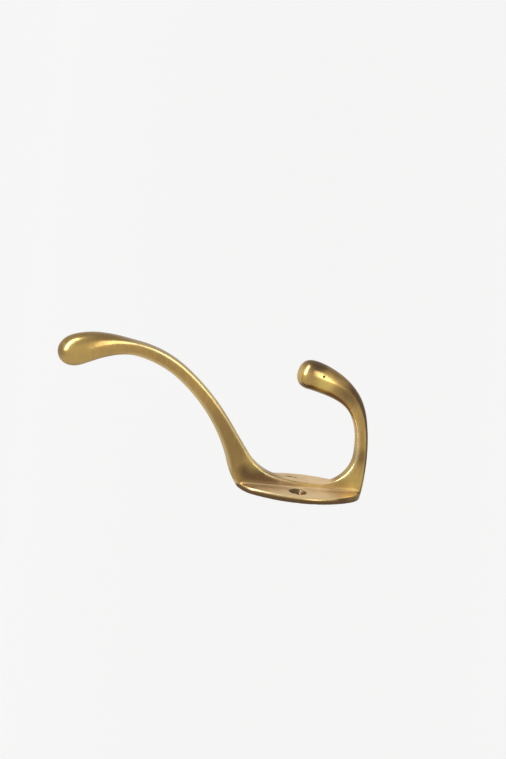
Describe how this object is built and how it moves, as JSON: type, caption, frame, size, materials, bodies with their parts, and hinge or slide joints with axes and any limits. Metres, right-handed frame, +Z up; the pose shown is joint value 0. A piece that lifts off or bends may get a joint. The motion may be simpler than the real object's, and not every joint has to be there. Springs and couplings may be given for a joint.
{
  "type": "coat hook",
  "caption": "Cast brass wall hook with an oval screw-on plate, a long arm leaning up for hats and a short arm curling back for coats, both with round club ends.",
  "frame": {"origin": "middle of the wall plate's flat back", "axes": "+Z up the wall towards the long arm, -Y out from the wall, X across the hook; X = 0 is the mirror plane"},
  "size_m": [0.036, 0.0656, 0.147],
  "materials": {
    "antique_brass": "aged satin, darkened in the recesses and worn bright on the edges"
  },
  "bodies": {
    "root": {"coat_hook": "antique_brass"}
  },
  "joints": []
}
